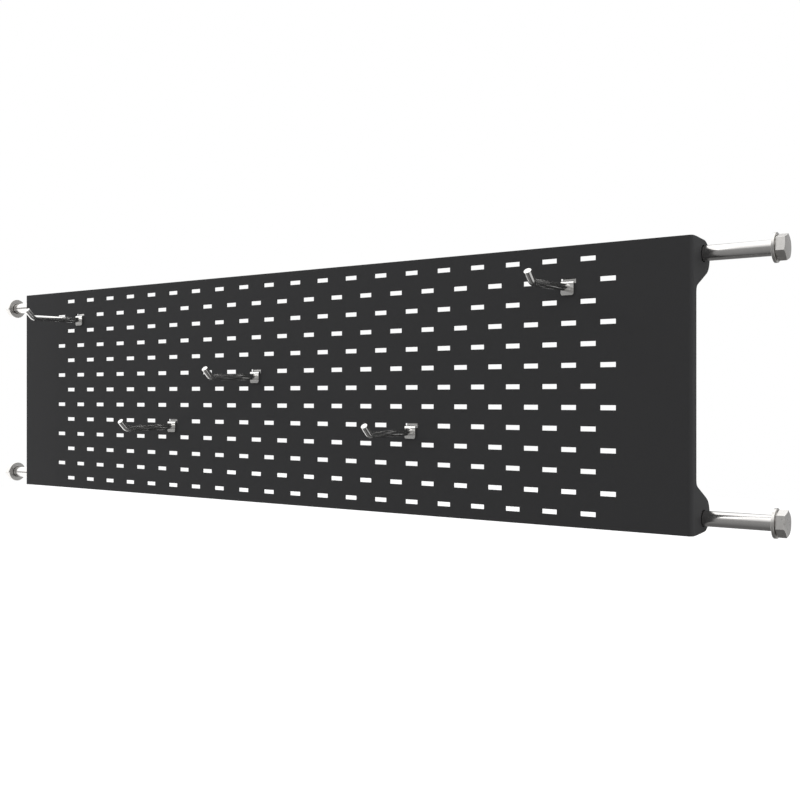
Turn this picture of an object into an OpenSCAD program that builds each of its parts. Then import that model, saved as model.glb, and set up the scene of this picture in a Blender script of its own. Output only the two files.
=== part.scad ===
// Slotted storage panel for a training rig: one folded steel sheet with four
// through bolts that clamp it between two posts, and five hooks in its slots.
// X runs along the panel, +Y points to its back, +Z is up. The origin is the
// middle of the four bolt holes, half way up and half way along.

/* [Panel] */
// Length of the panel, over the faces that meet the posts
panel_length = 1080; // [1060:5:1240]
// Height of the panel
panel_height = 300; // [295:1:360]
// Thickness of the sheet steel
sheet = 2.5; // [2:0.1:3.2]
// Outer radius of the fold at each end
fold_radius = 4; // [3.4:0.1:7]
// How far the folded ends reach back from the front face
lip_depth = 11.5; // [8:0.5:14]

/* [Slots] */
// Width of one slot
slot_width = 18.1; // [16:0.1:22]
// Height of one slot
slot_height = 5.3; // [5.1:0.1:7]
// Distance between the slots of one row
column_pitch = 45; // [40:0.5:50]
// Distance between two rows, which are staggered by half a column
row_pitch = 22.5; // [18:0.5:28]
// Least distance from the end of the panel to the middle of a slot
end_margin = 90; // [60:1:100]
// Least distance from the top and bottom edges to the middle of a slot
edge_margin = 15; // [8:0.5:20]

/* [Bolt ears] */
// How far the ears reach back from the front face
ear_depth = 52.5; // [46:0.5:60]
// Radius of the rounded back of an ear
ear_radius = 18; // [16:0.5:20]
// How far the middle of that rounding lies inside the bolt axis
ear_drop = 4; // [2:0.5:6]
// Angle of the sloping edge between the ear and the lip
ear_slope = 26; // [15:1:40]
// Radius where the sloping edge runs into the lip
ear_fillet = 8; // [3:0.5:12]
// Distance of the bolt axes from the top and bottom edges
bolt_inset = 15; // [13:0.5:18]
// Distance of the bolt axes behind the front face
bolt_depth = 34; // [30:0.5:38]
// Diameter of the hole for a bolt
bolt_hole = 17.5; // [17:0.1:19]

/* [Bolts] */
// Diameter of the bolt shank
bolt_diameter = 16; // [14:0.1:16.6]
// Length of the bolt under its head
bolt_length = 110; // [102:1:140]
// Room for a post between an ear and the washer under the bolt head
post_room = 70; // [40:0.5:75]
// Width of the hexagons across their flats
hex_width = 24; // [22:0.1:26]
// Height of the bolt head
head_height = 10; // [8:0.5:13]
// Height of the round face under the head, which bears on the washer
head_face_height = 0.8; // [0.4:0.1:1.2]
// Diameter of that round face
head_face_diameter = 22.4; // [21:0.1:23]
// Angle by which a corner of the right bolt heads points below straight ahead
head_turn_right = 19; // [0:1:60]
// Angle by which a corner of the left bolt heads points below straight ahead
head_turn_left = 5; // [0:1:60]
// Angle by which a corner of the nuts points below straight ahead
nut_turn = 8; // [0:1:60]
// Outside diameter of the washers
washer_diameter = 30; // [27:0.5:34]
// Thickness of the washers
washer_thick = 3; // [2:0.1:4]
// Diameter of the hole in the washers
washer_hole = 17; // [16.8:0.1:18]
// Height of the hexagon of a nut
nut_hex_height = 12; // [9:0.5:14]
// Height of the round collar on a nut, which holds its locking ring
nut_collar_height = 4; // [3.6:0.1:5]
// Outside diameter of the collar
nut_collar_diameter = 21.4; // [20.6:0.1:22]
// Outside diameter of the locking ring
ring_diameter = 19.4; // [18.5:0.1:19.8]
// Thickness of the locking ring
ring_thick = 3; // [2:0.1:3.3]

/* [Hooks] */
// Thickness of the bent strip that holds a hook in its slot
strip = 2.5; // [2:0.1:3]
// Width of the strip
strip_width = 15; // [10:0.5:15.5]
// Inner radius of the bends in the strip
strip_bend = 0.4; // [0.3:0.1:0.5]
// How far the strip hangs below the middle of the slot
strip_drop = 15.5; // [14:0.5:18]
// How far the claw behind the panel reaches above the middle of the slot
claw_rise = 8; // [5:0.5:10]
// Diameter of the hook's rod
rod_diameter = 8; // [6:0.1:8.6]
// Height of the rod's root below the middle of the slot
rod_root_drop = 7.5; // [7.3:0.1:9.5]
// Distance from the panel's front face to the corner of the bent rod
rod_reach = 82; // [50:1:120]
// Angle by which the rod droops towards its bend
rod_droop = 1.1; // [0:0.1:5]
// Radius of the rod's bend, at the middle of the rod
rod_bend = 10; // [6:0.5:14]
// Length of the upturned end, from the corner of the bend
tip_length = 15.1; // [14:0.1:40]
// Angle of the upturned end above level
tip_angle = 45; // [30:1:75]

/* [Clearances] */
// Gap between the strip and each face of the sheet
hook_gap = 0.25; // [0.2:0.01:0.3]
// Gap between the strip and the bottom edge of the slot
seat_gap = 0.1; // [0.05:0.01:0.15]
// Gap between the bolt and the bore of its nut, all round
thread_gap = 0.05; // [0.03:0.01:0.1]
// Gap between the locking ring and its recess, all round
ring_gap = 0.05; // [0.03:0.01:0.1]

/* [Hidden] */

// Steel and coating colours
panel_black = "#353535";
bright_steel = "#a9a8a4";
bright_chrome = "#d8d9da";
nylon_white = "#e8e6dc";

// Facets of round things, and of the thinner rods
round_fn = 64;
rod_fn = 40;
// Overlap that joins shapes of one piece, overshoot of a cut, and how far a
// straight edge runs into an arc so that the two cross instead of just touching
join = 0.01;
cut = 1;
bite = 0.05;

// The four corners, by the side along X and the side along Z
LEFT = -1;
RIGHT = 1;
TOP = 1;
BOTTOM = -1;

// Planes of the sheet, and height of the bolt axes
front_y = -bolt_depth;
back_y = front_y + sheet;
end_x = panel_length / 2;
edge_z = panel_height / 2;
bolt_z = edge_z - bolt_inset;

// The slots stand on a grid of half columns and rows. A slot is cut where the
// sum of both counts is odd, which staggers the rows.
half_columns = 2 * floor((panel_length - 2 * end_margin) / column_pitch);
rows = 2 * floor((panel_height - 2 * edge_margin) / (2 * row_pitch));
function slot_x(column) = (column - half_columns / 2) * column_pitch / 2;
function slot_z(row) = (rows / 2 - row) * row_pitch;

// Slots that hold a hook, as [half column, row] counted from the top left
hook_slots = [
    [2, 1],
    [2 * floor(half_columns / 4) - 2, 5],
    [11, 8],
    [half_columns - 11, 8],
    [half_columns - 2, 1]];

// Places along a bolt, outwards from the ear's outer face
head_washer_at = post_room;
head_at = head_washer_at + washer_thick;
thread_end_at = head_at - bolt_length;
nut_washer_at = -sheet - washer_thick;
nut_top_at = nut_washer_at;
collar_at = nut_top_at - nut_hex_height;
nut_end_at = collar_at - nut_collar_height;
bolt_chamfer = 1.2;
ring_lip = (nut_collar_height - ring_thick) / 2;
mouth_step = 0.5;

// A hexagon's corners, and the cone that chamfers them down from a smaller circle
corner_radius = hex_width / sqrt(3);
crown_radius = 0.95 * hex_width / 2;
crown_angle = 15;
crown_drop = (corner_radius + join - crown_radius) * tan(crown_angle);

// The strip's section, measured from the middle of the slot at the front face
tongue_low = -slot_height / 2 + seat_gap;
tongue_high = tongue_low + strip;
strip_front = -hook_gap - strip;
claw_front = sheet + hook_gap;
strip_corner_radius = 2.5;

// The rod along its own axis, from the front of the strip. Bending swells it a
// little, and its straight lengths reach a little way into the bend.
corner_turn = tip_angle + rod_droop;
bend_tangent = rod_bend * tan(corner_turn / 2);
rod_straight = (rod_reach + strip_front) / cos(rod_droop) - bend_tangent;
tip_straight = tip_length - bend_tangent;
tip_chamfer = 0.3;
bend_swell = 0.1;
rod_lap = 0.5;

// One ear, as depth behind the front face against height above its bolt axis.
// Its upper edge runs from the back of the lip to the rounding, and its lower
// edge slopes from the rounding into the lip.
ear_root = (fold_radius + lip_depth) / 2;
ear_centre = [ear_depth - ear_radius, -ear_drop];
ear_corner = [lip_depth, bolt_inset];
corner_away = ear_corner - ear_centre;
tangent_angle = atan2(corner_away[1], corner_away[0]) - acos(ear_radius / norm(corner_away));
slope_down = [sin(ear_slope), -cos(ear_slope)];
ear_top = ear_centre + (ear_radius - bite) * [cos(tangent_angle), sin(tangent_angle)];
ear_low = ear_centre + (ear_radius - bite) * slope_down;
function slope_at(depth) = [depth, ear_low[1] - (ear_low[0] - depth) * tan(ear_slope)];

// The fillet below the slope, from the corner that it rounds
fillet_tangent = ear_fillet * tan((90 - ear_slope) / 2);
fillet_low = slope_at(lip_depth) - [0, fillet_tangent];
fillet_centre = fillet_low + [ear_fillet, 0];
fillet_reach = ear_fillet + sheet;

module ear_outline() {
    polygon([[ear_root, bolt_inset], ear_corner, ear_top, ear_centre, ear_low, slope_at(ear_root)]);
    translate(ear_centre)
        circle(r = ear_radius, $fn = round_fn);
    difference() {
        polygon([
            fillet_centre,
            fillet_centre - fillet_reach * slope_down,
            slope_at(ear_root),
            fillet_centre - [fillet_reach, 0]]);
        translate(fillet_centre)
            circle(r = ear_fillet + bite, $fn = round_fn);
    }
}

// An ear stands in the end plane of the panel, on its left or right side
module ear(side, level) {
    translate([side * (end_x - sheet / 2), front_y, level * bolt_z])
        scale([1, 1, level])
            rotate([90, 0, 90])
                translate([0, 0, -sheet / 2])
                    linear_extrude(sheet)
                        ear_outline();
}

// A quarter of a bend in a sheet of the given thickness, round the origin
module quarter_bend(inner, thickness) {
    intersection() {
        difference() {
            circle(r = inner + thickness, $fn = round_fn);
            circle(r = inner, $fn = round_fn);
        }
        square(2 * (inner + thickness));
    }
}

// The fold and lip at one end, drawn as seen from above
module end_fold(side) {
    fold_inner = fold_radius - sheet;
    scale([side, 1, 1])
        translate([end_x - fold_radius, front_y + fold_radius, -edge_z])
            linear_extrude(panel_height) {
                rotate(-90)
                    quarter_bend(fold_inner, sheet);
                translate([fold_inner, 0])
                    square([sheet, lip_depth - fold_radius]);
            }
}

// The perforated face between the two folds, drawn upright in X and Z
module face_outline() {
    flat_half = end_x - fold_radius;
    difference() {
        translate([-flat_half, -edge_z])
            square([2 * flat_half, panel_height]);
        for (row = [0 : rows])
            for (column = [(row + 1) % 2 : 2 : half_columns])
                translate([slot_x(column) - slot_width / 2, slot_z(row) - slot_height / 2])
                    square([slot_width, slot_height]);
    }
}

module panel() {
    color(panel_black)
        difference() {
            union() {
                translate([0, back_y, 0])
                    rotate([90, 0, 0])
                        linear_extrude(sheet)
                            face_outline();
                for (side = [LEFT, RIGHT]) {
                    end_fold(side);
                    for (level = [TOP, BOTTOM])
                        ear(side, level);
                }
            }
            for (side = [LEFT, RIGHT])
                for (level = [TOP, BOTTOM])
                    at_bolt(side, level)
                        translate([0, 0, -sheet - cut])
                            cylinder(d = bolt_hole, h = sheet + 2 * cut, $fn = round_fn);
        }
}

// Puts a fastener on its bolt axis, with its own Z pointing away from the panel
module at_bolt(side, level) {
    translate([side * end_x, 0, level * bolt_z])
        rotate([0, side * 90, 0])
            children();
}

// A hexagon whose far corners are chamfered by a cone. One corner points down by
// the angle turn from straight ahead.
module hexagon(height, turn, side) {
    intersection() {
        rotate(-90 + side * turn)
            cylinder(r = corner_radius, h = height, $fn = 6);
        rotate_extrude($fn = round_fn)
            polygon([
                [0, 0],
                [corner_radius + join, 0],
                [corner_radius + join, height - crown_drop],
                [crown_radius, height],
                [0, height]]);
    }
}

module bolt(side, level) {
    color(bright_steel)
        at_bolt(side, level) {
            translate([0, 0, head_at])
                cylinder(d = head_face_diameter, h = head_face_height + join, $fn = round_fn);
            translate([0, 0, head_at + head_face_height])
                hexagon(
                    head_height - head_face_height,
                    side == LEFT ? head_turn_left : head_turn_right,
                    side);
            translate([0, 0, thread_end_at + bolt_chamfer])
                cylinder(
                    d = bolt_diameter,
                    h = head_at - thread_end_at - bolt_chamfer + join,
                    $fn = round_fn);
            translate([0, 0, thread_end_at])
                cylinder(
                    d1 = bolt_diameter - 2 * bolt_chamfer,
                    d2 = bolt_diameter,
                    h = bolt_chamfer,
                    $fn = round_fn);
        }
}

module washer(side, level, at) {
    color(bright_steel)
        at_bolt(side, level)
            translate([0, 0, at])
                difference() {
                    cylinder(d = washer_diameter, h = washer_thick, $fn = round_fn);
                    translate([0, 0, -cut])
                        cylinder(d = washer_hole, h = washer_thick + 2 * cut, $fn = round_fn);
                }
}

// The hexagon sits against its washer, and the collar with the recess for the
// locking ring faces away from it.
module nut(side, level) {
    bore = bolt_diameter + 2 * thread_gap;
    recess = ring_diameter + 2 * ring_gap;
    color(bright_steel)
        at_bolt(side, level)
            difference() {
                union() {
                    translate([0, 0, nut_top_at])
                        mirror([0, 0, 1])
                            hexagon(nut_hex_height, nut_turn, side);
                    translate([0, 0, nut_end_at])
                        cylinder(d = nut_collar_diameter, h = nut_collar_height + join, $fn = round_fn);
                }
                translate([0, 0, nut_end_at - cut])
                    cylinder(d = bore, h = nut_top_at - nut_end_at + 2 * cut, $fn = round_fn);
                translate([0, 0, collar_at - ring_lip - ring_thick - ring_gap])
                    cylinder(d = recess, h = ring_thick + 2 * ring_gap, $fn = round_fn);
                translate([0, 0, nut_end_at - cut])
                    cylinder(d = bore + 2 * mouth_step, h = ring_lip + cut + join, $fn = round_fn);
            }
}

module locking_ring(side, level) {
    color(nylon_white)
        at_bolt(side, level)
            translate([0, 0, collar_at - ring_lip - ring_thick])
                difference() {
                    cylinder(d = ring_diameter, h = ring_thick, $fn = round_fn);
                    translate([0, 0, -cut])
                        cylinder(
                            d = bolt_diameter + 2 * thread_gap,
                            h = ring_thick + 2 * cut,
                            $fn = round_fn);
                }
}

// Puts a hook's piece at its slot, measured from the slot's middle in the front face
module at_hook(number) {
    place = hook_slots[number - 1];
    translate([slot_x(place[0]), front_y, slot_z(place[1])])
        children();
}

// Section of the strip: down in front of the panel, back through the slot, and
// up behind the panel as a claw
module strip_section() {
    translate([strip_front, -strip_drop])
        square([strip, tongue_low - strip_bend + strip_drop]);
    translate([strip_front + strip + strip_bend, tongue_low - strip_bend])
        rotate(90)
            quarter_bend(strip_bend, strip);
    translate([strip_front + strip + strip_bend, tongue_low])
        square([claw_front - strip_front - strip - 2 * strip_bend, strip]);
    translate([claw_front - strip_bend, tongue_high + strip_bend])
        rotate(270)
            quarter_bend(strip_bend, strip);
    translate([claw_front, tongue_high + strip_bend])
        square([strip, claw_rise - tongue_high - strip_bend]);
}

// The strip seen from the front, with its corners rounded at both ends
module strip_outline() {
    corner_x = strip_width / 2 - strip_corner_radius;
    low_z = -strip_drop + strip_corner_radius;
    high_z = claw_rise - strip_corner_radius;
    translate([-strip_width / 2, low_z])
        square([strip_width, high_z - low_z]);
    translate([-corner_x, -strip_drop])
        square([2 * corner_x, claw_rise + strip_drop]);
    for (x = [-corner_x, corner_x])
        for (z = [low_z, high_z])
            translate([x, z])
                circle(r = strip_corner_radius, $fn = round_fn);
}

module hook_strip(number) {
    color(bright_chrome)
        at_hook(number)
            intersection() {
                rotate([90, 0, 90])
                    translate([0, 0, -strip_width])
                        linear_extrude(2 * strip_width)
                            strip_section();
                translate([0, claw_front + strip + cut, 0])
                    rotate([90, 0, 0])
                        linear_extrude(claw_front - strip_front + strip + 2 * cut)
                            strip_outline();
            }
}

// The rod is drawn along its own axis, which then points forward and droops.
// Its root is cut flush with the front of the strip that it is welded to.
module hook_rod(number) {
    color(bright_chrome)
        at_hook(number)
            difference() {
                translate([0, strip_front, -rod_root_drop])
                    rotate([90 + rod_droop, 0, 0])
                        bent_rod();
                translate([-rod_diameter, strip_front, -rod_root_drop - rod_diameter])
                    cube([2 * rod_diameter, 2 * strip, 2 * rod_diameter]);
            }
}

// A straight length, the bend, and the upturned end with its chamfered rim
module bent_rod() {
    translate([0, 0, -strip / 2])
        cylinder(d = rod_diameter, h = rod_straight + strip / 2 + rod_lap, $fn = rod_fn);
    translate([0, rod_bend, rod_straight]) {
        rotate([90, 0, -90])
            rotate_extrude(angle = corner_turn, $fn = round_fn)
                translate([rod_bend, 0])
                    circle(d = rod_diameter + bend_swell, $fn = rod_fn);
        rotate([-corner_turn, 0, 0])
            translate([0, -rod_bend, 0]) {
                translate([0, 0, -rod_lap])
                    cylinder(d = rod_diameter, h = tip_straight - tip_chamfer + rod_lap, $fn = rod_fn);
                translate([0, 0, tip_straight - tip_chamfer])
                    cylinder(
                        d1 = rod_diameter,
                        d2 = rod_diameter - 2 * tip_chamfer,
                        h = tip_chamfer,
                        $fn = rod_fn);
            }
    }
}

panel();
bolt(LEFT, TOP);  // bolt_top_left
bolt(LEFT, BOTTOM);  // bolt_bottom_left
bolt(RIGHT, TOP);  // bolt_top_right
bolt(RIGHT, BOTTOM);  // bolt_bottom_right
washer(LEFT, TOP, head_washer_at);  // head_washer_top_left
washer(LEFT, BOTTOM, head_washer_at);  // head_washer_bottom_left
washer(RIGHT, TOP, head_washer_at);  // head_washer_top_right
washer(RIGHT, BOTTOM, head_washer_at);  // head_washer_bottom_right
washer(LEFT, TOP, nut_washer_at);  // nut_washer_top_left
washer(LEFT, BOTTOM, nut_washer_at);  // nut_washer_bottom_left
washer(RIGHT, TOP, nut_washer_at);  // nut_washer_top_right
washer(RIGHT, BOTTOM, nut_washer_at);  // nut_washer_bottom_right
nut(LEFT, TOP);  // nut_top_left
nut(LEFT, BOTTOM);  // nut_bottom_left
nut(RIGHT, TOP);  // nut_top_right
nut(RIGHT, BOTTOM);  // nut_bottom_right
locking_ring(LEFT, TOP);  // locking_ring_top_left
locking_ring(LEFT, BOTTOM);  // locking_ring_bottom_left
locking_ring(RIGHT, TOP);  // locking_ring_top_right
locking_ring(RIGHT, BOTTOM);  // locking_ring_bottom_right
hook_strip(1);  // hook_strip_1
hook_strip(2);  // hook_strip_2
hook_strip(3);  // hook_strip_3
hook_strip(4);  // hook_strip_4
hook_strip(5);  // hook_strip_5
hook_rod(1);  // hook_rod_1
hook_rod(2);  // hook_rod_2
hook_rod(3);  // hook_rod_3
hook_rod(4);  // hook_rod_4
hook_rod(5);  // hook_rod_5
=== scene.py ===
# %% [markdown]
# # A slotted storage panel for a training rig
# The real object is one sheet of black powder-coated steel, folded back at both
# ends and bolted between two posts. Chrome hooks hang in its slots. The packed
# model holds its exact sizes and its moving bodies, and this lesson gives it
# its looks. Sizes are written in millimetres, and points are placed in metres in
# the model's own frame. So a piece is built where the model says and only then
# told which body it rides on.

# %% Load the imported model
import math
import bmesh
import bpy
from mathutils import Matrix, Vector


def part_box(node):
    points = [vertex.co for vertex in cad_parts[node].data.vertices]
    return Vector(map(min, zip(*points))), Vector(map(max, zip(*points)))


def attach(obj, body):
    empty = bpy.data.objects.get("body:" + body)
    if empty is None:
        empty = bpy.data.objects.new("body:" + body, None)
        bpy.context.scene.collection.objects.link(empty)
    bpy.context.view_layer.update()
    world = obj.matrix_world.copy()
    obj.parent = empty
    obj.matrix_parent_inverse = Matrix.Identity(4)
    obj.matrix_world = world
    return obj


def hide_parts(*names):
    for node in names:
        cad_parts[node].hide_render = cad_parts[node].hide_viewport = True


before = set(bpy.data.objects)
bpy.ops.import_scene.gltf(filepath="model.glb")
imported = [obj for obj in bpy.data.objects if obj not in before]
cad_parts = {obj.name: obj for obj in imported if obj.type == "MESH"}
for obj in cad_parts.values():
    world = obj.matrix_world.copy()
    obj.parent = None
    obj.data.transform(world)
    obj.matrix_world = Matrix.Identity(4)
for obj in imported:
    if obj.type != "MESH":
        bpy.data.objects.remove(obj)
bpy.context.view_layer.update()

MM = 0.001
scene = bpy.context.scene

# %% [markdown]
# ## Camera
# The photograph was taken from the front right, level with the middle of the
# panel. Rows of equal slots are a good ruler: the way they shrink with distance
# gives both the focal length and the place of the camera, so neither has to be
# guessed. The focal length and the horizon are written in pixels of the square
# photograph, because that is how they were measured.

# %% The camera at the photograph's place
PHOTO_WIDTH = 800
FOCAL_LENGTH = 1023.1
HORIZON_HEIGHT = 396.9
camera_place = Vector((0.88055, -1.03263, -0.01121))
camera_look = Vector((-0.57062, 0.82122, 0))

lens = bpy.data.cameras.new("camera")
lens.sensor_width = 36
lens.lens = lens.sensor_width * FOCAL_LENGTH / PHOTO_WIDTH
lens.shift_y = (HORIZON_HEIGHT - PHOTO_WIDTH / 2) / PHOTO_WIDTH
lens.clip_start = 0.05
camera = bpy.data.objects.new("camera", lens)
camera.location = camera_place
camera.rotation_euler = camera_look.to_track_quat("-Z", "Y").to_euler()
scene.collection.objects.link(camera)
scene.camera = camera
scene.view_settings.view_transform = "Standard"
print("lens, mm", round(lens.lens, 2), "shift", round(lens.shift_y, 5))

# %% [markdown]
# ## Materials
# Shader nodes are added with one small function that takes a node's settings,
# the values of its inputs and the links into them. Colours are written as the
# hex values that a colour picker shows, and one function turns them into the
# linear values that the renderer works in. Patterns get their scale from a size
# in millimetres: a texture's scale is how many of its lumps fit in a metre.

# %% Helpers for colours, nodes and patterns
def linear(hex_colour):
    """The linear colour, with alpha 1, of an sRGB hex value."""
    channels = [int(hex_colour[i:i + 2], 16) / 255 for i in (1, 3, 5)]
    return [c / 12.92 if c <= 0.04045 else ((c + 0.055) / 1.055) ** 2.4 for c in channels] + [1]


def add_node(tree, kind, values=None, links=None, **settings):
    """Adds a shader node with its settings, its inputs' values and the links into them."""
    node = tree.nodes.new(kind)
    for name, value in settings.items():
        setattr(node, name, value)
    for name, value in (values or {}).items():
        node.inputs[name].default_value = value
    for name, source in (links or {}).items():
        tree.links.new(source, node.inputs[name])
    return node


# A Mix node has inputs and outputs for each kind of data, and these are the ones for colours
MIX_A, MIX_B, MIX_COLOUR = 6, 7, 2


def per_metre(size_mm):
    """The texture scale at which one lump of the pattern is this many millimetres."""
    return 1 / (size_mm * MM)


def new_material(name):
    """An empty material and its node tree."""
    material = bpy.data.materials.new(name)
    material.use_nodes = True
    material.node_tree.nodes.clear()
    return material, material.node_tree


print("black #353535 in linear values", [round(c, 4) for c in linear("#353535")[:3]])

# %% [markdown]
# ### Polyester powder coat
# Black polyester powder is sprayed on dry and melted in an oven. It flows out
# into a skin with a faint orange peel, lumps a few millimetres across, and a
# much finer grain that takes the shine off. The eye sees an even near-black
# that turns grey where it mirrors something bright at a low angle. The grain
# is too fine to show from two steps away, so it is drawn about four times as
# coarse as it is.

# %% Powder coat
PEEL_MM = 4
GRAIN_MM = 0.8
powder_coat, tree = new_material("polyester_powder_coat_fine_black")
place = add_node(tree, "ShaderNodeTexCoord")
peel = add_node(tree, "ShaderNodeTexNoise", {"Scale": per_metre(PEEL_MM), "Detail": 1.0},
                {"Vector": place.outputs["Object"]})
grain = add_node(tree, "ShaderNodeTexNoise", {"Scale": per_metre(GRAIN_MM), "Detail": 2.0},
                 {"Vector": place.outputs["Object"]})
tint = add_node(tree, "ShaderNodeMix", {MIX_A: linear("#303031"), MIX_B: linear("#363637")},
                {0: grain.outputs["Fac"]}, data_type="RGBA")
matt = add_node(tree, "ShaderNodeMapRange", {"To Min": 0.6, "To Max": 0.72},
                {"Value": grain.outputs["Fac"]})
peel_bump = add_node(tree, "ShaderNodeBump", {"Strength": 0.5, "Distance": 0.02 * MM},
                     {"Height": peel.outputs["Fac"]})
grain_bump = add_node(tree, "ShaderNodeBump", {"Strength": 0.5, "Distance": 0.015 * MM},
                      {"Height": grain.outputs["Fac"], "Normal": peel_bump.outputs["Normal"]})
coat = add_node(tree, "ShaderNodeBsdfPrincipled", {"IOR": 1.3},
                {"Base Color": tint.outputs[MIX_COLOUR], "Roughness": matt.outputs["Result"],
                 "Normal": grain_bump.outputs["Normal"]})
add_node(tree, "ShaderNodeOutputMaterial", links={"Surface": coat.outputs["BSDF"]})
print("peel", PEEL_MM, "mm, grain", GRAIN_MM, "mm")

# %% [markdown]
# ### Bright zinc plate
# The bolts, washers and nuts are cold-formed steel with a thin bright coat of
# zinc. It is a metal, so its colour lives in its reflections: a slightly warm
# grey. The shank was drawn through a die, which leaves faint lines along it,
# and they make its reflections soft at the edges. The lines are a tenth of a
# millimetre wide and are drawn five times as wide, or they would only be noise.

# %% Zinc plate
DRAW_LINE_MM = 0.5
DRAW_LENGTH_MM = 30
CLOUD_MM = 9
zinc_plate, tree = new_material("bright_zinc_plated_steel")
place = add_node(tree, "ShaderNodeTexCoord")
line_sizes = (DRAW_LENGTH_MM, DRAW_LINE_MM, DRAW_LINE_MM)
along_bolt = add_node(tree, "ShaderNodeMapping", {"Scale": [per_metre(size) for size in line_sizes]},
                      {"Vector": place.outputs["Object"]})
lines = add_node(tree, "ShaderNodeTexNoise", {"Scale": 1.0, "Detail": 2.0},
                 {"Vector": along_bolt.outputs["Vector"]})
cloud = add_node(tree, "ShaderNodeTexNoise", {"Scale": per_metre(CLOUD_MM), "Detail": 2.0},
                 {"Vector": place.outputs["Object"]})
tint = add_node(tree, "ShaderNodeMix", {MIX_A: linear("#ceccca"), MIX_B: linear("#d8d6d4")},
                {0: cloud.outputs["Fac"]}, data_type="RGBA")
shine = add_node(tree, "ShaderNodeMapRange", {"To Min": 0.13, "To Max": 0.26},
                 {"Value": lines.outputs["Fac"]})
line_bump = add_node(tree, "ShaderNodeBump", {"Strength": 0.3, "Distance": 0.01 * MM},
                     {"Height": lines.outputs["Fac"]})
zinc = add_node(tree, "ShaderNodeBsdfPrincipled", {"Metallic": 1.0},
                {"Base Color": tint.outputs[MIX_COLOUR], "Roughness": shine.outputs["Result"],
                 "Normal": line_bump.outputs["Normal"]})
add_node(tree, "ShaderNodeOutputMaterial", links={"Surface": zinc.outputs["BSDF"]})
print("drawn lines", DRAW_LINE_MM, "by", DRAW_LENGTH_MM, "mm")

# %% [markdown]
# ### Polished chrome plate
# The hooks are steel rod and strip, polished and then plated with nickel and
# chrome. Chrome is close to a mirror with hardly any colour of its own. It
# shows what stands around it, so the rods look black against the black panel
# and white where they show the studio. A faint unevenness from the polishing
# wheel keeps it from looking like glass.

# %% Chrome plate
POLISH_MM = 6
chrome_plate, tree = new_material("polished_chrome_plate")
place = add_node(tree, "ShaderNodeTexCoord")
polish = add_node(tree, "ShaderNodeTexNoise", {"Scale": per_metre(POLISH_MM), "Detail": 3.0},
                  {"Vector": place.outputs["Object"]})
shine = add_node(tree, "ShaderNodeMapRange", {"To Min": 0.14, "To Max": 0.24},
                 {"Value": polish.outputs["Fac"]})
polish_bump = add_node(tree, "ShaderNodeBump", {"Strength": 0.2, "Distance": 0.003 * MM},
                       {"Height": polish.outputs["Fac"]})
chrome = add_node(tree, "ShaderNodeBsdfPrincipled",
                  {"Base Color": linear("#dfdedc"), "Metallic": 1.0},
                  {"Roughness": shine.outputs["Result"], "Normal": polish_bump.outputs["Normal"]})
add_node(tree, "ShaderNodeOutputMaterial", links={"Surface": chrome.outputs["BSDF"]})
print("polishing marks", POLISH_MM, "mm")

# %% [markdown]
# ### Natural nylon
# The locking ring in each nut is turned from nylon with no pigment. It is milky
# because light goes a little way in, and its surface is smooth but not glossy.

# %% Nylon
MILKY_MM = 2.5
LIGHT_DEPTH_MM = 1
nylon, tree = new_material("natural_nylon_turned")
place = add_node(tree, "ShaderNodeTexCoord")
cloud = add_node(tree, "ShaderNodeTexNoise", {"Scale": per_metre(MILKY_MM), "Detail": 1.0},
                 {"Vector": place.outputs["Object"]})
matt = add_node(tree, "ShaderNodeMapRange", {"To Min": 0.35, "To Max": 0.5},
                {"Value": cloud.outputs["Fac"]})
ring_skin = add_node(tree, "ShaderNodeBsdfPrincipled",
                     {"Base Color": linear("#e6e2d4"), "Subsurface Weight": 0.2,
                      "Subsurface Scale": LIGHT_DEPTH_MM * MM},
                     {"Roughness": matt.outputs["Result"]})
add_node(tree, "ShaderNodeOutputMaterial", links={"Surface": ring_skin.outputs["BSDF"]})
print("materials", [m.name for m in bpy.data.materials])

# %% [markdown]
# ## Building pieces
# A real part is turned, pressed or bent, and each way of making has its own
# mesh. What is turned or has flats goes round an axis, ring by ring. What is
# bent from rod or strip follows a path, section by section. Both are chains of
# closed rings, so one function joins rings into a skin. A narrow bevel then
# breaks each sharp edge, because real edges are never perfectly sharp and the
# thin line of light along them is what makes metal look like metal.

# %% Skin, bevel and hand over a piece
SHARP = math.radians(30)


def skin(rings, closed=False):
    """A mesh through rings of equally many points, capped at its ends unless it is closed."""
    mesh = bmesh.new()
    rows = [[mesh.verts.new(point) for point in ring] for ring in rings]
    count = len(rows[0])
    pairs = list(zip(rows, rows[1:])) + ([(rows[-1], rows[0])] if closed else [])
    for row, following in pairs:
        for i in range(count):
            k = (i + 1) % count
            mesh.faces.new((row[i], row[k], following[k], following[i]))
    if not closed:
        mesh.faces.new(rows[0][::-1])
        mesh.faces.new(rows[-1])
    bmesh.ops.recalc_face_normals(mesh, faces=mesh.faces)
    return mesh


def piece(name, mesh, body, materials, replaces, edge_mm, leave=None):
    """Makes an object of a mesh, breaks its sharp edges except where leave says no, and hands it over."""
    weight = mesh.edges.layers.float.new("bevel_weight_edge")
    for edge in mesh.edges:
        left_sharp = leave and all(leave(vert.co) for vert in edge.verts)
        if not left_sharp and edge.calc_face_angle(0) > SHARP:
            edge[weight] = 1
    data = bpy.data.meshes.new(name)
    mesh.to_mesh(data)
    mesh.free()
    data.shade_smooth()
    for material in materials:
        data.materials.append(material)
    made = bpy.data.objects.new(name, data)
    scene.collection.objects.link(made)
    bevel = made.modifiers.new("broken edges", "BEVEL")
    bevel.width = edge_mm * MM
    bevel.segments = 2
    bevel.limit_method = "WEIGHT"
    bevel.harden_normals = True
    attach(made, body)
    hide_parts(*replaces)


print("edges that turn by more than", round(math.degrees(SHARP)), "degrees are broken")

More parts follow.
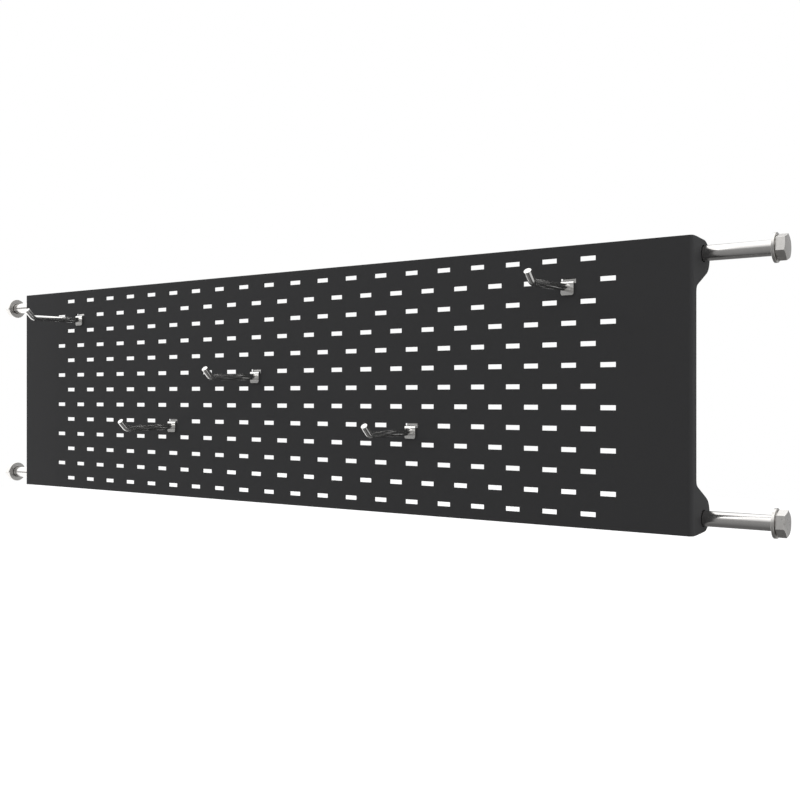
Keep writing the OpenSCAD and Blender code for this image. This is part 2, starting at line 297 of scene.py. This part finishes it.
# %% [markdown]
# ## The folded sheet
# On the real panel a laser cuts slots and outline in flat sheet, and a press
# folds the two ends back. The mesh is made in the same way: the outer skin is a
# grid whose lines run along the edges of the slots, wrapped round the folds.
# Cells that are slots are left out. The ears are filled in at the ends, and
# then the skin gets its thickness. A grid like this keeps every slot's corners
# clean for the bevel, which a cut made with a boolean wouldn't.

# %% Sizes of the sheet, in millimetres
panel_low, panel_high = [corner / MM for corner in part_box("panel")]
END_X = panel_high.x
EDGE_Z = panel_high.z
FRONT_Y = panel_low.y
SHEET = 2.5
FOLD_RADIUS = 4
LIP_DEPTH = 11.5
SLOT_WIDTH, SLOT_HEIGHT = 18.1, 5.3
ROW_PITCH = 22.5
HALF_COLUMNS, ROWS = 40, 12
FOLD_STEPS = 8
SHEET_EDGE = 0.12
# Points that are closer than this lie in one place
CLOSE = 0.01
slot_xs = [(column - HALF_COLUMNS / 2) * ROW_PITCH for column in range(HALF_COLUMNS + 1)]
slot_zs = [(row - ROWS / 2) * ROW_PITCH for row in range(ROWS + 1)]
print("sheet", round(2 * END_X), "by", round(2 * EDGE_Z), "mm, front at", round(FRONT_Y, 1))

# %% Outline of an ear, as depth behind the front face and height above the bolt axis
BOLT_Z = 135
BOLT_DEPTH = 34
BOLT_HOLE = 17.5
EAR_DEPTH, EAR_RADIUS, EAR_DROP = 52.5, 18, 4
EAR_SLOPE = math.radians(26)
FILLET = 8
EAR_STEPS, FILLET_STEPS, HOLE_STEPS = 24, 8, 48


def arc(centre, radius, start, end, steps):
    """Points along an arc, in degrees."""
    angles = [math.radians(start + (end - start) * i / steps) for i in range(steps + 1)]
    return [(centre[0] + radius * math.cos(a), centre[1] + radius * math.sin(a)) for a in angles]


ear_centre = (EAR_DEPTH - EAR_RADIUS, -EAR_DROP)
corner = (LIP_DEPTH, EDGE_Z - BOLT_Z)
away = Vector(corner) - Vector(ear_centre)
top_angle = math.degrees(math.atan2(away.y, away.x) - math.acos(EAR_RADIUS / away.length))
low_angle = math.degrees(EAR_SLOPE) - 90
rounding = arc(ear_centre, EAR_RADIUS, top_angle, low_angle, EAR_STEPS)
slope_foot = rounding[-1][1] - (rounding[-1][0] - LIP_DEPTH) * math.tan(EAR_SLOPE)
fillet_low = slope_foot - FILLET * math.tan((math.pi / 2 - EAR_SLOPE) / 2)
fillet = arc((LIP_DEPTH + FILLET, fillet_low), FILLET, 90 + math.degrees(EAR_SLOPE), 180, FILLET_STEPS)
ear_edge = rounding + fillet[:-1]
print("ear edge points", len(ear_edge), "fillet ends", round(fillet_low, 2), "above the bolt axis")

# %% Outer skin of the sheet, with the inner point that belongs to each outer one
def fold_points(side):
    """Outer and inner points of one fold and lip, from the face outwards."""
    centre = Vector((side * (END_X - FOLD_RADIUS), FRONT_Y + FOLD_RADIUS))
    rows = []
    for i in range(1, FOLD_STEPS + 1):
        a = math.radians(90 * i / FOLD_STEPS)
        out = Vector((side * math.sin(a), -math.cos(a)))
        rows.append((centre + FOLD_RADIUS * out, centre + (FOLD_RADIUS - SHEET) * out))
    back = FRONT_Y + LIP_DEPTH
    rows.append((Vector((side * END_X, back)), Vector((side * (END_X - SHEET), back))))
    return rows


flat_xs = [-(END_X - FOLD_RADIUS)]
for x in slot_xs:
    flat_xs += [x - SLOT_WIDTH / 2, x + SLOT_WIDTH / 2]
flat_xs.append(END_X - FOLD_RADIUS)
flat = [(Vector((x, FRONT_Y)), Vector((x, FRONT_Y + SHEET))) for x in flat_xs]
columns = fold_points(-1)[::-1] + flat + fold_points(1)
levels = [-EDGE_Z, -(BOLT_Z + fillet_low)]
for z in slot_zs:
    levels += [z - SLOT_HEIGHT / 2, z + SLOT_HEIGHT / 2]
levels = sorted(levels + [BOLT_Z + fillet_low, EDGE_Z])
print("grid of", len(columns), "by", len(levels), "lines")

# %% Build the sheet
sheet_mesh = bmesh.new()
inner_place = {}


def outer_point(x, y, z, inner_x, inner_y):
    """A point of the outer skin, in millimetres, that remembers the inner one."""
    point = sheet_mesh.verts.new((x * MM, y * MM, z * MM))
    inner_place[point] = (inner_x * MM, inner_y * MM, z * MM)
    return point


grid = [[outer_point(outer.x, outer.y, z, inner.x, inner.y) for z in levels] for outer, inner in columns]
first_flat = FOLD_STEPS + 1
slot_cells = {(first_flat + 1 + 2 * column, levels.index(z - SLOT_HEIGHT / 2))
              for row, z in enumerate(slot_zs) for column in range((row + 1) % 2, HALF_COLUMNS + 1, 2)}
for c in range(len(columns) - 1):
    for r in range(len(levels) - 1):
        if (c, r) not in slot_cells:
            sheet_mesh.faces.new((grid[c][r], grid[c + 1][r], grid[c + 1][r + 1], grid[c][r + 1]))
print("slots", len(slot_cells))

# %% Ears, filled between the lip, their edge and the bolt hole
def ear_points(outline, side, level):
    """Points of the outer skin for an outline given as depth and height above the bolt axis."""
    outer_x, inner_x = side * END_X, side * (END_X - SHEET)
    return [outer_point(outer_x, FRONT_Y + depth, level * (BOLT_Z + height), inner_x, FRONT_Y + depth)
            for depth, height in outline]


hole = arc((BOLT_DEPTH, 0), BOLT_HOLE / 2, 0, 360, HOLE_STEPS)[:-1]
for side, lip in ((-1, grid[0]), (1, grid[-1])):
    for level in (-1, 1):
        near = [point for point, z in zip(lip, levels) if level * z > BOLT_Z + fillet_low - CLOSE]
        near = near if level > 0 else near[::-1]
        edge = ear_points(ear_edge, side, level)
        rim = ear_points(hole, side, level)
        border = []
        for ring in (near + edge, rim):
            for a, b in zip(ring, ring[1:] + ring[:1]):
                border.append(sheet_mesh.edges.get((a, b)) or sheet_mesh.edges.new((a, b)))
        bmesh.ops.triangle_fill(sheet_mesh, use_beauty=True, edges=border)
print("faces in the outer skin", len(sheet_mesh.faces))

# %% Thickness: the inner skin and the rims between the two
outer_faces = list(sheet_mesh.faces)
open_edges = [e for e in sheet_mesh.edges if len(e.link_faces) == 1]
inner = {point: sheet_mesh.verts.new(place) for point, place in inner_place.items()}
for face in outer_faces:
    sheet_mesh.faces.new([inner[point] for point in reversed(face.verts)])
for edge in open_edges:
    a, b = edge.verts
    sheet_mesh.faces.new((a, b, inner[b], inner[a]))
bmesh.ops.recalc_face_normals(sheet_mesh, faces=sheet_mesh.faces)
print("open edges left", sum(1 for e in sheet_mesh.edges if len(e.link_faces) != 2))
piece("panel_sheet", sheet_mesh, "panel", [powder_coat], ["panel"], SHEET_EDGE)

# %% [markdown]
# ## Bolts, washers and nuts
# Through bolts like these are forged with a hexagon head and have their thread
# rolled on the last stretch of the shank. The thread is a helix, so its radius
# depends on the angle as well as on the length: a saw of crests and roots that
# moves on by one pitch with each turn. Built ring by ring, the radius is simply
# that function, and no screw modifier or boolean is needed. Under the hexagon
# the head has a low round face that bears on the washer, so a narrow dark gap
# shows below its corners. Distances run outwards along the bolt from the ear.

# %% Sizes along a bolt, in millimetres, and rings round its axis
SHANK, PITCH, THREAD_DEPTH = 16, 2, 1.15
THREAD_END, THREAD_START, TIP_CHAMFER = -37, 0, 1.2
HEAD_AT, HEAD_HEIGHT = 73, 10
HEAD_FACE, HEAD_FACE_HEIGHT = 22.4, 0.8
TIP_CENTRE, HEAD_CENTRE = 0.5, 2
HEX, CROWN, CROWN_ANGLE = 24, 11.4, math.radians(15)
HEAD_TURN = {-1: 5, 1: 19}
NUT_TURN = 8
BOLT_EDGE, WASHER_EDGE, NUT_EDGE = 0.3, 0.35, 0.2
STEPS = 72


def at_bolt(side, level):
    """From a bolt's own frame, with Z pointing away from the panel, to the model's."""
    place = Matrix.Translation((side * END_X * MM, 0, level * BOLT_Z * MM))
    return place @ Matrix.Rotation(math.radians(90 * side), 4, "Y")


def turned(stations, side, level, turn=0, closed=False):
    """Rings round a bolt's axis. Each station gives the radius and the place along the axis at an angle."""
    matrix = at_bolt(side, level)
    first = math.radians(side * turn - 90)
    rings = []
    for station in stations:
        ring = []
        for i in range(STEPS):
            radius, along = station(math.tau * i / STEPS)
            angle = first + math.tau * i / STEPS
            ring.append(matrix @ (Vector((radius * math.cos(angle), radius * math.sin(angle), along)) * MM))
        rings.append(ring)
    return skin(rings, closed)


def circle(radius, along):
    """A station on a circle."""
    return lambda angle: (radius, along)


def hex_radius(angle):
    """Distance from the axis to a hexagon's side. A corner is at angle 0."""
    from_flat = angle % math.radians(60) - math.radians(30)
    return HEX / 2 / math.cos(from_flat)


def hexagon(foot, top):
    """Stations of a hexagon whose corners are chamfered by a cone towards its top."""
    rise = 1 if top > foot else -1

    def shoulder(angle):
        radius = hex_radius(angle)
        return radius, top - rise * (radius - CROWN) * math.tan(CROWN_ANGLE)

    return [lambda angle: (hex_radius(angle), foot), shoulder, circle(CROWN, top)]


print("a corner is", round(hex_radius(0), 2), "mm from the axis")

# %% [markdown]
# ### Turned and forged zinc
# Heads, nuts and washers have no drawn lines. They carry faint circles from the
# tool that faced them and the soft cloudiness of plating in a barrel. The
# circles are drawn about four times as coarse as they are, to be seen at all.
# They need the distance from the bolt's axis. The four axes mirror each other,
# so the height above the middle of the panel without its sign is enough.

# %% Turned zinc
CIRCLE_MM = 0.8
BARREL_CLOUD_MM = 3
turned_zinc, tree = new_material("bright_zinc_plate_on_forged_steel")
place = add_node(tree, "ShaderNodeTexCoord")
apart = add_node(tree, "ShaderNodeSeparateXYZ", links={"Vector": place.outputs["Object"]})
height = add_node(tree, "ShaderNodeMath", links={0: apart.outputs["Z"]}, operation="ABSOLUTE")
level_off = add_node(tree, "ShaderNodeMath", {1: BOLT_Z * MM}, {0: height.outputs[0]},
                     operation="SUBTRACT")
across = add_node(tree, "ShaderNodeCombineXYZ",
                  links={"Y": apart.outputs["Y"], "Z": level_off.outputs[0]})
from_axis = add_node(tree, "ShaderNodeVectorMath", links={0: across.outputs["Vector"]}, operation="LENGTH")
circles = add_node(tree, "ShaderNodeTexNoise", {"Scale": per_metre(CIRCLE_MM), "Detail": 1.0},
                   {"W": from_axis.outputs["Value"]}, noise_dimensions="1D")
cloud = add_node(tree, "ShaderNodeTexNoise", {"Scale": per_metre(BARREL_CLOUD_MM), "Detail": 3.0},
                 {"Vector": place.outputs["Object"]})
tint = add_node(tree, "ShaderNodeMix", {MIX_A: linear("#c8c6c3"), MIX_B: linear("#d6d4d1")},
                {0: cloud.outputs["Fac"]}, data_type="RGBA")
shine = add_node(tree, "ShaderNodeMapRange", {"To Min": 0.22, "To Max": 0.38},
                 {"Value": cloud.outputs["Fac"]})
circle_bump = add_node(tree, "ShaderNodeBump", {"Strength": 0.25, "Distance": 0.02 * MM},
                       {"Height": circles.outputs["Fac"]})
cloud_bump = add_node(tree, "ShaderNodeBump", {"Strength": 0.3, "Distance": 0.03 * MM},
                      {"Height": cloud.outputs["Fac"], "Normal": circle_bump.outputs["Normal"]})
zinc_skin = add_node(tree, "ShaderNodeBsdfPrincipled", {"Metallic": 1.0},
                     {"Base Color": tint.outputs[MIX_COLOUR], "Roughness": shine.outputs["Result"],
                      "Normal": cloud_bump.outputs["Normal"]})
add_node(tree, "ShaderNodeOutputMaterial", links={"Surface": zinc_skin.outputs["BSDF"]})
print("turned circles", CIRCLE_MM, "mm apart")

# %% The four corners, by the words in the model's names
CORNERS = {f"{high}_{left}": (side, level)
           for left, side in (("left", -1), ("right", 1))
           for high, level in (("top", 1), ("bottom", -1))}
print(CORNERS)

# %% Bolts: thread, shank and head in one skin
THREAD_SAMPLES = 6
# The two flanks take two thirds of a pitch, the root a sixth and the crest a sixth
FLANK_SLOPE, ROOT_FLAT = 1.5, 0.25


def thread(along, side):
    """A station of the thread: the helix gives the radius, and the cone at the end cuts it down."""
    def station(angle):
        phase = (along / PITCH + side * angle / math.tau) % 1
        from_root = abs(phase - 0.5) * 2
        flank = min(max(from_root * FLANK_SLOPE - ROOT_FLAT, 0), 1)
        runout = min(1, (THREAD_START - along) / PITCH)
        radius = SHANK / 2 - THREAD_DEPTH * (1 - flank) * runout
        return min(radius, SHANK / 2 - TIP_CHAMFER + along - THREAD_END), along
    return station


thread_length = THREAD_START - THREAD_END
thread_rings = round(thread_length / PITCH * THREAD_SAMPLES)
thread_places = [THREAD_END + thread_length * i / thread_rings for i in range(thread_rings + 1)]
hex_foot = HEAD_AT + HEAD_FACE_HEIGHT
head_top = HEAD_AT + HEAD_HEIGHT
head_stations = [circle(SHANK / 2, HEAD_AT), circle(HEAD_FACE / 2, HEAD_AT), circle(HEAD_FACE / 2, hex_foot)]
head_stations += hexagon(hex_foot, head_top) + [circle(HEAD_CENTRE, head_top)]
for corner_name, (side, level) in CORNERS.items():
    stations = [circle(TIP_CENTRE, THREAD_END)] + [thread(along, side) for along in thread_places]
    mesh = turned(stations + head_stations, side, level, HEAD_TURN[side])
    for face in mesh.faces:
        face.material_index = int(abs(face.calc_center_median().x) > (END_X + HEAD_AT - CLOSE) * MM)
    piece(f"bolt_{corner_name}_threaded", mesh, f"bolt_{corner_name}", [zinc_plate, turned_zinc],
          [f"bolt_{corner_name}"], BOLT_EDGE,
          leave=lambda point: abs(point.x) < (END_X + THREAD_START) * MM)
print("rings in a thread", thread_rings)

# %% [markdown]
# ### Washers and nuts
# A flat washer is stamped from sheet and tumbled, which rounds its rims a
# little. A locking nut is a hexagon with a round collar, and the collar holds a
# nylon ring that grips the thread. Both are chains of rings round the axis in
# which the last ring meets the first.

# %% Washers and nuts
WASHER, WASHER_HOLE, WASHER_THICK = 30, 17, 3
SHEET_BACK = -SHEET
NUT_HEIGHT, COLLAR_HEIGHT, COLLAR = 12, 4, 21.4
BORE, RECESS, RING_LIP, MOUTH_STEP = 16.1, 19.5, 0.5, 0.5


def washer_stations(at):
    """Section of a washer, from the bore to the rim and back to the bore."""
    far = at + WASHER_THICK
    bore, rim = WASHER_HOLE / 2, WASHER / 2
    return [circle(bore, at), circle(rim, at), circle(rim, far), circle(bore, far)]


nut_top = SHEET_BACK - WASHER_THICK
collar_top = nut_top - NUT_HEIGHT
nut_end = collar_top - COLLAR_HEIGHT
nut_stations = [circle(BORE / 2, nut_top)] + hexagon(nut_top, collar_top) + [
    circle(COLLAR / 2, collar_top),
    circle(COLLAR / 2, nut_end),
    circle(BORE / 2 + MOUTH_STEP, nut_end),
    circle(BORE / 2 + MOUTH_STEP, nut_end + RING_LIP),
    circle(RECESS / 2, nut_end + RING_LIP),
    circle(RECESS / 2, collar_top),
    circle(BORE / 2, collar_top)]
for corner_name, (side, level) in CORNERS.items():
    for kind, at, body in (("head", HEAD_AT - WASHER_THICK, "bolt"), ("nut", nut_top, "nut")):
        mesh = turned(washer_stations(at), side, level, closed=True)
        piece(f"{kind}_washer_{corner_name}_stamped", mesh, f"{body}_{corner_name}", [turned_zinc],
              [f"{kind}_washer_{corner_name}"], WASHER_EDGE)
    mesh = turned(nut_stations, side, level, NUT_TURN, closed=True)
    piece(f"nut_{corner_name}_collared", mesh, f"nut_{corner_name}", [turned_zinc],
          [f"nut_{corner_name}"], NUT_EDGE)
    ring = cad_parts[f"locking_ring_{corner_name}"]
    ring.data.materials.clear()
    ring.data.materials.append(nylon)
print("a nut ends", -nut_end, "mm behind the outer face of its ear")

# %% [markdown]
# ## Hooks
# Each hook is a strip and a rod. The strip is bent twice, so it goes down in
# front of the panel, back through the slot and up behind it: that is what
# carries the load. The rod is welded to its front and turned up at the end. A
# strip is a rectangle that follows its bent section, narrower at its rounded
# ends. A rod is a circle that follows a path, with a small weld bead where it
# meets the plate.

# %% Strip: the section's outer and inner line, with the half width at each station
STRIP, STRIP_WIDTH, STRIP_ROUND = 2.5, 15, 2.5
STRIP_DROP, CLAW_RISE = 15.5, 8
HOOK_GAP, SEAT_GAP, BEND = 0.25, 0.1, 0.4
STRIP_STEPS, STRIP_EDGE = 6, 0.3
TONGUE_LOW = SEAT_GAP - SLOT_HEIGHT / 2


def bend_line(centre, start, end):
    """Front and back points of the strip in a bend round a centre, in depth and height."""
    lines = []
    for i in range(STRIP_STEPS + 1):
        a = math.radians(start + (end - start) * i / STRIP_STEPS)
        out = Vector((math.cos(a), math.sin(a)))
        lines.append((Vector(centre) + BEND * out, Vector(centre) + (BEND + STRIP) * out))
    return lines


def strip_stations():
    """Pairs of points on both sides of the strip, from the plate's lower end to the claw's upper end."""
    front = -HOOK_GAP - STRIP
    claw = SHEET + HOOK_GAP
    quarter = [math.radians(90 * i / STRIP_STEPS) for i in range(STRIP_STEPS + 1)]
    rounding = [STRIP_ROUND * (1 - math.cos(a)) for a in quarter]
    pairs = [(Vector((front, -STRIP_DROP + d)), Vector((front + STRIP, -STRIP_DROP + d))) for d in rounding]
    lower = bend_line((-HOOK_GAP + BEND, TONGUE_LOW - BEND), 180, 90)
    pairs += [(outer, inner) for inner, outer in lower]
    upper = bend_line((claw - BEND, TONGUE_LOW + STRIP + BEND), 270, 360)
    pairs += [(inner, outer) for inner, outer in upper]
    pairs += [(Vector((claw, CLAW_RISE - d)), Vector((claw + STRIP, CLAW_RISE - d)))
              for d in reversed(rounding)]
    halves = [STRIP_WIDTH / 2 - STRIP_ROUND + math.sqrt(max(STRIP_ROUND ** 2 - (STRIP_ROUND - d) ** 2, 0))
              for d in rounding]
    flat = [STRIP_WIDTH / 2] * (len(lower) + len(upper))
    return list(zip(pairs, halves + flat + halves[::-1]))


strip_line = strip_stations()
print("stations along the strip", len(strip_line))

# %% Rod: its path in depth and height, and its radius along it
ROD, ROOT_DROP, REACH, DROOP = 8, 7.5, 82, 1.1
ROD_BEND, TIP_LENGTH, TIP_ANGLE, END_CHAMFER = 10, 15.1, 45, 0.3
BEAD, BEAD_STEPS = 0.35, 5
ROD_SPANS, ROD_EDGE = 12, 0.1


def rod_stations():
    """Places, directions and radii along the rod, from the plate to its upturned end."""
    droop, turn = math.radians(DROOP), math.radians(TIP_ANGLE + DROOP)
    root = Vector((-HOOK_GAP - STRIP, -ROOT_DROP))
    tangent = ROD_BEND * math.tan(turn / 2)
    straight = (REACH - HOOK_GAP - STRIP) / math.cos(droop) - tangent
    ahead = Vector((-math.cos(droop), -math.sin(droop)))
    up = Vector((-math.sin(droop), math.cos(droop)))
    stations = []
    for i in range(BEAD_STEPS + 1):
        a = math.radians(90 * i / BEAD_STEPS)
        along, proud = BEAD * (1 - math.cos(a)), BEAD * (1 - math.sin(a))
        stations.append((root + along * ahead, droop, ROD / 2 + proud))
    for i in range(1, ROD_SPANS):
        stations.append((root + (BEAD + (straight - BEAD) * i / ROD_SPANS) * ahead, droop, ROD / 2))
    centre = root + straight * ahead + ROD_BEND * up
    for i in range(ROD_SPANS + 1):
        a = turn * i / ROD_SPANS
        place = centre + ROD_BEND * (math.sin(a) * ahead - math.cos(a) * up)
        stations.append((place, droop - a, ROD / 2))
    tip_ahead = math.cos(turn) * ahead + math.sin(turn) * up
    bend_end = stations[-1][0]
    tip = TIP_LENGTH - tangent
    for reach, radius in ((tip / 2, ROD / 2), (tip - END_CHAMFER, ROD / 2), (tip, ROD / 2 - END_CHAMFER)):
        stations.append((bend_end + reach * tip_ahead, droop - turn, radius))
    return stations


rod_line = rod_stations()
print("stations along the rod", len(rod_line))

# %% Hang the five hooks in their slots, by half column and row from the top left
HOOK_SLOTS = [(2, 1), (18, 5), (11, 8), (29, 8), (38, 1)]
ROD_STEPS = 32
for number, (column, row) in enumerate(HOOK_SLOTS, 1):
    middle = Vector((slot_xs[column], FRONT_Y, slot_zs[ROWS - row]))
    strip_rings = []
    for (front, back), half in strip_line:
        ring = [(-half, front), (half, front), (half, back), (-half, back)]
        strip_rings.append([(middle + Vector((x, p.x, p.y))) * MM for x, p in ring])
    piece(f"hook_{number}_bent_strip", skin(strip_rings), f"hook_{number}", [chrome_plate],
          [f"hook_strip_{number}"], STRIP_EDGE)
    rod_rings = []
    for place, pitch, radius in rod_line:
        across = Vector((0, -math.sin(pitch), math.cos(pitch)))
        ring = []
        for i in range(ROD_STEPS):
            a = math.tau * i / ROD_STEPS
            offset = radius * (math.cos(a) * Vector((1, 0, 0)) + math.sin(a) * across)
            ring.append((middle + Vector((0, place.x, place.y)) + offset) * MM)
        rod_rings.append(ring)
    piece(f"hook_{number}_welded_rod", skin(rod_rings), f"hook_{number}", [chrome_plate],
          [f"hook_rod_{number}"], ROD_EDGE)
print("hooks", len(HOOK_SLOTS))

# %% [markdown]
# ## Studio
# The photograph stands on plain white. Polished metal shows what stands round
# it, and the photograph's metal tells what that was. The right shanks run from
# white on top through grey in front to dark below, the left shanks are white
# but for a thin line in the middle, and the end faces of the right heads are
# grey. So the light above is bright, the room in front is grey, the far left
# is a white wall with a darker band at the height of the panel, and the rear is
# grey. The washers at the left and the tips of the hooks show the right side:
# grey level with the panel, lighter below it and dark far down. One function
# gives that light for a direction, and the world and the floor share it. Matt
# surfaces get a second, plain light, which is stronger from the right, because
# the ears in the photograph are lighter than the front.

# %% What polished metal mirrors, as brightness by height of direction
MIRROR_STRENGTH = 1.8
FRONT_STUDIO = [(-0.96, 0.16), (-0.89, 0.22), (-0.76, 0.25), (-0.58, 0.29), (-0.13, 0.34), (0.13, 0.35),
                (0.25, 0.38), (0.36, 0.6), (0.48, 0.9), (0.59, 1.15), (0.78, 1.6), (0.9, 1.8)]
REAR_STUDIO = [(-0.9, 0.17), (-0.35, 0.23), (-0.15, 0.42), (0.4, 0.46), (0.48, 0.6), (0.62, 1.3), (0.75, 1.8)]
LEFT_STUDIO = [(-0.9, 1.4), (-0.17, 1.7), (-0.11, 0.34), (0.11, 0.34), (0.17, 1.7), (0.75, 1.8)]
RIGHT_STUDIO = [(-0.9, 0.04), (-0.72, 0.05), (-0.55, 0.6), (-0.3, 0.9), (-0.17, 0.42), (0.45, 0.42),
                (0.75, 1.3)]


def height_ramp(tree, height, stops_by_height):
    """A colour ramp over height, from stops that each give a height and a brightness."""
    ramp = add_node(tree, "ShaderNodeValToRGB", links={"Fac": height})
    stops = ramp.color_ramp.elements
    for z, light in stops_by_height:
        stop = stops.new((z + 1) / 2)
        stop.color = [light / MIRROR_STRENGTH] * 3 + [1]
    stops.remove(stops[0])
    stops.remove(stops[len(stops) - 1])
    return ramp.outputs["Color"]


print("brightness in front, from", FRONT_STUDIO[0][1], "low down to", FRONT_STUDIO[-1][1], "at the top")

# %% The studio's sides, and the mirrored light for a direction
# Each side starts at the first value of its axis and is whole at the second
REAR_FROM, LEFT_FROM, RIGHT_FROM = (-0.1, 0.3), (-0.5, -0.72), (0.3, 0.5)


def share(tree, value, start, whole):
    """A value from 0 to 1 over a range of another value."""
    return add_node(tree, "ShaderNodeMapRange", {"From Min": start, "From Max": whole},
                    {"Value": value}).outputs["Result"]


def mirrored_light(tree, direction):
    """The light that a mirror shows from a direction, as a share of MIRROR_STRENGTH."""
    part = add_node(tree, "ShaderNodeSeparateXYZ", links={"Vector": direction})
    height = share(tree, part.outputs["Z"], -1, 1)
    colour = height_ramp(tree, height, FRONT_STUDIO)
    for axis, side_from, side_studio in (
            ("Y", REAR_FROM, REAR_STUDIO), ("X", LEFT_FROM, LEFT_STUDIO), ("X", RIGHT_FROM, RIGHT_STUDIO)):
        with_side = add_node(tree, "ShaderNodeMix", data_type="RGBA", links={
            0: share(tree, part.outputs[axis], *side_from),
            MIX_A: colour,
            MIX_B: height_ramp(tree, height, side_studio)})
        colour = with_side.outputs[MIX_COLOUR]
    return colour


def mirror_rays(tree):
    """Light path of a material or world, and a value that is 1 for rays off or through polished things."""
    rays = add_node(tree, "ShaderNodeLightPath")
    return rays, add_node(tree, "ShaderNodeMath", operation="MAXIMUM", links={
        0: rays.outputs["Is Glossy Ray"], 1: rays.outputs["Is Transmission Ray"]}).outputs[0]


print("rear, left and right start and are whole at", REAR_FROM, LEFT_FROM, RIGHT_FROM)

# %% World
ROOM_LEFT, ROOM_RIGHT = 0.02, 2.0
ROOM_FROM = -0.4
world = bpy.data.worlds.new("white_studio")
world.use_nodes = True
tree = world.node_tree
tree.nodes.clear()
scene.world = world
direction = add_node(tree, "ShaderNodeTexCoord")
studio = add_node(tree, "ShaderNodeBackground", {"Strength": MIRROR_STRENGTH},
                  {"Color": mirrored_light(tree, direction.outputs["Generated"])})
part = add_node(tree, "ShaderNodeSeparateXYZ", links={"Vector": direction.outputs["Generated"]})
room_light = add_node(tree, "ShaderNodeMapRange",
                      {"From Min": ROOM_FROM, "To Min": ROOM_LEFT, "To Max": ROOM_RIGHT},
                      {"Value": part.outputs["X"]})
room = add_node(tree, "ShaderNodeBackground", {"Color": linear("#ffffff")},
                {"Strength": room_light.outputs["Result"]})
white = add_node(tree, "ShaderNodeBackground", {"Color": linear("#ffffff"), "Strength": 1.0})
rays, mirrored = mirror_rays(tree)
lit = add_node(tree, "ShaderNodeMixShader", links={0: mirrored, 1: room.outputs[0], 2: studio.outputs[0]})
shown = add_node(tree, "ShaderNodeMixShader",
                 links={0: rays.outputs["Is Camera Ray"], 1: lit.outputs[0], 2: white.outputs[0]})
add_node(tree, "ShaderNodeOutputWorld", links={"Surface": shown.outputs[0]})
print("nodes in the world", len(tree.nodes))

# %% [markdown]
# ### Lamp and floor
# One soft lamp stands at the front left, because the plates of the hooks shade
# the panel on their right. The floor is a pale sheet of studio paper. Its fibres
# are much finer than the pattern that stands for them. Its white has a little
# glow that only the camera sees, so a shadow on it still shows, and in a mirror
# it passes on the studio's light by direction.

# %% A soft lamp at the front left
LAMP_SIZE = (1.2, 1.2)
LAMP_PLACE = Vector((-1.5, -2.0, 1.7))
LAMP_WATTS = 8
softbox = bpy.data.lights.new("softbox", "AREA")
softbox.shape = "RECTANGLE"
softbox.size, softbox.size_y = LAMP_SIZE
softbox.energy = LAMP_WATTS
lamp = bpy.data.objects.new("softbox", softbox)
lamp.location = LAMP_PLACE
lamp.rotation_euler = (-LAMP_PLACE).to_track_quat("-Z", "Y").to_euler()
scene.collection.objects.link(lamp)
print("lamp", [round(v, 2) for v in lamp.location], LAMP_WATTS, "W")

# %% Matt studio paper
FLOOR_Z = -1.3
FIBRE_MM = 4
PAPER_GLOW = 0.55
paper, tree = new_material("matt_white_studio_paper")
place = add_node(tree, "ShaderNodeTexCoord")
fibre = add_node(tree, "ShaderNodeTexNoise", {"Scale": per_metre(FIBRE_MM), "Detail": 2.0},
                 {"Vector": place.outputs["Object"]})
tint = add_node(tree, "ShaderNodeMix", {MIX_A: linear("#e4e4e4"), MIX_B: linear("#eaeaea")},
                {0: fibre.outputs["Fac"]}, data_type="RGBA")
rays, mirrored = mirror_rays(tree)
glow = add_node(tree, "ShaderNodeMath", {1: PAPER_GLOW}, {0: rays.outputs["Is Camera Ray"]},
                operation="MULTIPLY")
matt_paper = add_node(tree, "ShaderNodeBsdfPrincipled",
                      {"Roughness": 0.9, "Emission Color": linear("#ffffff")},
                      {"Base Color": tint.outputs[MIX_COLOUR], "Emission Strength": glow.outputs[0]})
seen_from_origin = add_node(tree, "ShaderNodeVectorMath", {1: (0, 0, FLOOR_Z)}, {0: place.outputs["Object"]},
                            operation="ADD")
towards = add_node(tree, "ShaderNodeVectorMath", links={0: seen_from_origin.outputs[0]},
                   operation="NORMALIZE")
in_mirror = add_node(tree, "ShaderNodeEmission", {"Strength": MIRROR_STRENGTH},
                     {"Color": mirrored_light(tree, towards.outputs[0])})
either = add_node(tree, "ShaderNodeMixShader",
                  links={0: mirrored, 1: matt_paper.outputs[0], 2: in_mirror.outputs[0]})
add_node(tree, "ShaderNodeOutputMaterial", links={"Surface": either.outputs[0]})
print("nodes in the paper", len(tree.nodes))

# %% Floor
FLOOR_HALF = 12
FLOOR_CELLS = 4
floor_mesh = bmesh.new()
bmesh.ops.create_grid(floor_mesh, x_segments=FLOOR_CELLS, y_segments=FLOOR_CELLS, size=FLOOR_HALF)
floor_data = bpy.data.meshes.new("studio_floor")
floor_mesh.to_mesh(floor_data)
floor_mesh.free()
floor_data.materials.append(paper)
floor = bpy.data.objects.new("studio_floor", floor_data)
floor.location.z = FLOOR_Z
scene.collection.objects.link(floor)
print("floor", -FLOOR_Z, "m below the middle of the panel")
